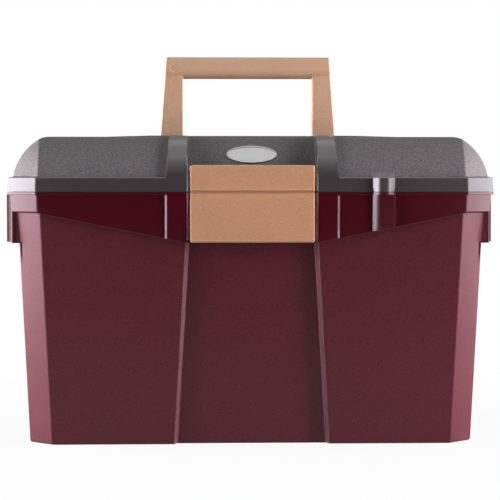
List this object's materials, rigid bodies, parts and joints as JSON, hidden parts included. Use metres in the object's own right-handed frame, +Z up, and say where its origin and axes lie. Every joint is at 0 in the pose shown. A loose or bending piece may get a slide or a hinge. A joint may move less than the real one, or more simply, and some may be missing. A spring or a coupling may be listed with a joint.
{
  "type": "horse grooming box",
  "caption": "Moulded grooming box with chamfered corners, a domed hinged lid, a front latch, a folding carry handle, end grips and a lift-out tray with dividers.",
  "frame": {"origin": "centre of the base, on the surface the box stands on", "axes": "+X along the length to the right as seen from the front, -Y to the front with the latch, +Z up"},
  "size_m": [0.4, 0.249, 0.3171],
  "materials": {
    "tub_plastic": "burgundy, grained walls with a glossy collar",
    "lid_plastic": "warm grey, grained panels with smooth rim and pilasters",
    "trim_plastic": "beige, fine satin",
    "badge_metal": "satin, bare",
    "pin_steel": "drawn wire"
  },
  "bodies": {
    "tub": {"tub": "tub_plastic", "hinge_pin_left": "pin_steel", "hinge_pin_right": "pin_steel"},
    "lid": {"lid": "lid_plastic", "badge_plate": "badge_metal", "latch_pin": "pin_steel", "handle_pin_left": "pin_steel", "handle_pin_right": "pin_steel"},
    "latch": {"front_latch": "trim_plastic"},
    "handle": {"carry_handle": "trim_plastic"},
    "tray": {"tray": "trim_plastic"},
    "divider_left": {"divider_left": "trim_plastic"},
    "divider_right": {"divider_right": "trim_plastic"}
  },
  "joints": [
    {"name": "lid_hinge", "type": "hinge", "parent": "tub", "child": "lid", "pos_m": [0, 0.1225, 0.2035], "axis": [-1, 0, 0], "range_deg": [0, 105]},
    {"name": "latch_swing", "type": "hinge", "parent": "lid", "child": "latch", "pos_m": [0, -0.111, 0.2185], "axis": [-1, 0, 0], "range_deg": [0, 110]},
    {"name": "handle_fold", "type": "hinge", "parent": "lid", "child": "handle", "pos_m": [0, 0.01, 0.2385], "axis": [1, 0, 0], "range_deg": [0, 90]},
    {"name": "tray_lift", "type": "slide", "parent": "tub", "child": "tray", "axis": [0, 0, 1], "range_m": [0, 0.01]},
    {"name": "divider_left_lift", "type": "slide", "parent": "tray", "child": "divider_left", "axis": [0, 0, 1], "range_m": [0, 0.014]},
    {"name": "divider_right_lift", "type": "slide", "parent": "tray", "child": "divider_right", "axis": [0, 0, 1], "range_m": [0, 0.014]}
  ]
}
